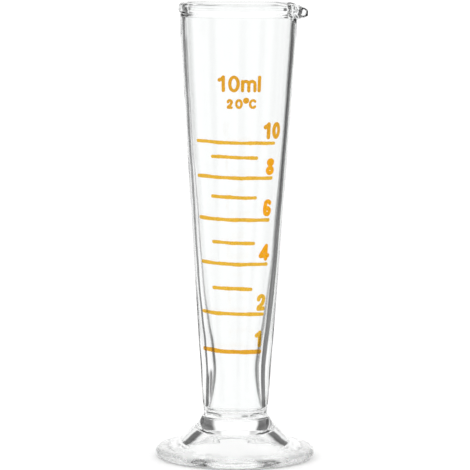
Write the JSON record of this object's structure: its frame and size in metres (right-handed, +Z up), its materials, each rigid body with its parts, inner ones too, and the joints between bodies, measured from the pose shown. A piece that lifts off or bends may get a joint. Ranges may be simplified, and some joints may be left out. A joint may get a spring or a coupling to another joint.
{
  "type": "measuring cup",
  "caption": "Small conical graduated glass measure with a pouring lip, sealed onto a wide hollow foot, marked in orange enamel.",
  "frame": {"origin": "centre of the foot's resting ring, on the vessel's axis, at the surface it stands on", "axes": "+Z up along the vessel's axis, +X towards the pouring lip, -Y towards the reader of the graduations"},
  "size_m": [0.0332, 0.0332, 0.095],
  "materials": {
    "clear_glass": "clear fire-polished soda-lime glass",
    "pressed_glass": "clear pressed glass with softly rounded edges",
    "orange_enamel": "thin fired vitreous enamel, glossy, slightly translucent"
  },
  "bodies": {
    "root": {"measuring_bowl": "clear_glass", "foot": "pressed_glass", "line_1_ml": "orange_enamel", "line_2_ml": "orange_enamel", "line_3_ml": "orange_enamel", "line_4_ml": "orange_enamel", "line_5_ml": "orange_enamel", "line_6_ml": "orange_enamel", "line_7_ml": "orange_enamel", "line_8_ml": "orange_enamel", "line_9_ml": "orange_enamel", "line_10_ml": "orange_enamel", "numeral_1": "orange_enamel", "numeral_2": "orange_enamel", "numeral_4": "orange_enamel", "numeral_6": "orange_enamel", "numeral_8": "orange_enamel", "numeral_10": "orange_enamel", "capacity_legend": "orange_enamel", "temperature_legend": "orange_enamel"}
  },
  "joints": []
}
